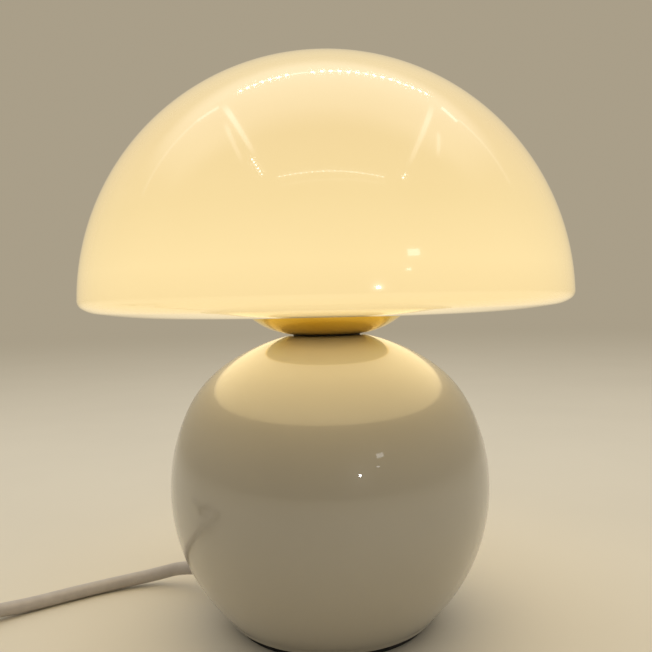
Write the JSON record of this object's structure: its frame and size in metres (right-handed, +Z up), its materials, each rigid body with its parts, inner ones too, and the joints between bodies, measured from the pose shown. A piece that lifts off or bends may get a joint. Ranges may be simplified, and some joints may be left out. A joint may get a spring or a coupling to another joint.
{
  "type": "table lamp",
  "caption": "Mushroom table lamp: opal glass half-ball shade on a brass cup and a glazed ceramic ball, with a corded inline rocker switch and flat two-pin plug.",
  "frame": {"origin": "on the table, under the lamp's axis, at the centre of the foot pad's underside", "axes": "+Z up along the lamp's axis, -Y towards the viewer, the cord leaves towards -X"},
  "size_m": [0.4237, 0.2, 0.2339],
  "materials": {
    "opal_glass": "glossy opal glass, lit from inside",
    "glazed_ceramic": "glossy off-white glaze",
    "polished_brass": "polished and lacquered",
    "black_rubber": "matt",
    "black_foam": "closed-cell foam, matt",
    "zinc_steel": "bright zinc plate",
    "clear_silicone": "milky silicone",
    "holder_plastic": "moulded white",
    "steatite": "unglazed",
    "contact_brass": "stamped brass",
    "bulb_glass_black": "black vitreous insulator",
    "nickel_shell": "nickel plate",
    "white_plastic": "moulded white, satin",
    "opal_plastic": "frosted diffuser",
    "board_aluminium": "white solder mask on aluminium",
    "clamp_nylon": "natural nylon",
    "white_cord": "white cord sheath, satin",
    "brown_insulation": "wire insulation",
    "blue_insulation": "wire insulation",
    "black_tie": "woven hook-and-loop tie",
    "pin_sleeve_plastic": "insulating sleeve"
  },
  "bodies": {
    "base": {"base_ball": "glazed_ceramic", "shade_cup": "polished_brass", "top_gasket": "black_rubber", "tube_seal_washer": "black_rubber", "foot_pad": "black_foam", "bottom_plate": "zinc_steel", "center_tube": "zinc_steel", "tube_washer": "zinc_steel", "tube_lock_washer": "zinc_steel", "tube_nut": "zinc_steel", "cup_washer": "zinc_steel", "cup_nut": "zinc_steel", "cord_clamp_screws": "zinc_steel", "switch_cover_screws": "zinc_steel", "rocker_pin": "zinc_steel", "shade_seat_ring": "clear_silicone", "holder_cap": "holder_plastic", "holder_skirt": "holder_plastic", "holder_insert": "steatite", "center_contact": "contact_brass", "side_contact": "contact_brass", "terminal_screws": "contact_brass", "switch_contacts": "contact_brass", "switch_terminal_screws": "contact_brass", "plug_pins": "nickel_shell", "strain_relief": "white_plastic", "switch_reliefs": "white_plastic", "plug_body": "white_plastic", "switch_base": "white_plastic", "switch_cover": "white_plastic", "cord_clamp_base": "clamp_nylon", "cord_clamp_bridge": "clamp_nylon", "inner_cord_sheath": "white_cord", "cord_to_switch": "white_cord", "cord_to_coil": "white_cord", "cord_coil": "white_cord", "cord_to_plug": "white_cord", "live_wire": "brown_insulation", "neutral_wire": "blue_insulation", "switch_wires": "blue_insulation", "coil_tie": "black_tie", "plug_pin_sleeves": "pin_sleeve_plastic"},
    "shade": {"glass_shade": "opal_glass"},
    "bulb": {"bulb_globe": "opal_plastic", "bulb_housing": "white_plastic", "bulb_screw_cap": "nickel_shell", "bulb_insulator": "bulb_glass_black", "bulb_tip_contact": "contact_brass", "bulb_led_board": "board_aluminium"},
    "rocker": {"switch_rocker": "white_plastic", "rocker_contact": "contact_brass"}
  },
  "joints": [
    {"name": "shade_lift", "type": "slide", "parent": "base", "child": "shade", "axis": [0, 0, 1], "range_m": [0, 0.12]},
    {"name": "bulb_unscrew", "type": "slide", "parent": "base", "child": "bulb", "axis": [0, 0, 1], "range_m": [0, 0.009]},
    {"name": "switch_rock", "type": "hinge", "parent": "base", "child": "rocker", "pos_m": [-0.18535, -0.0361, 0.0127], "axis": [0.6428, -0.766, 0], "range_deg": [-24, 0]}
  ]
}
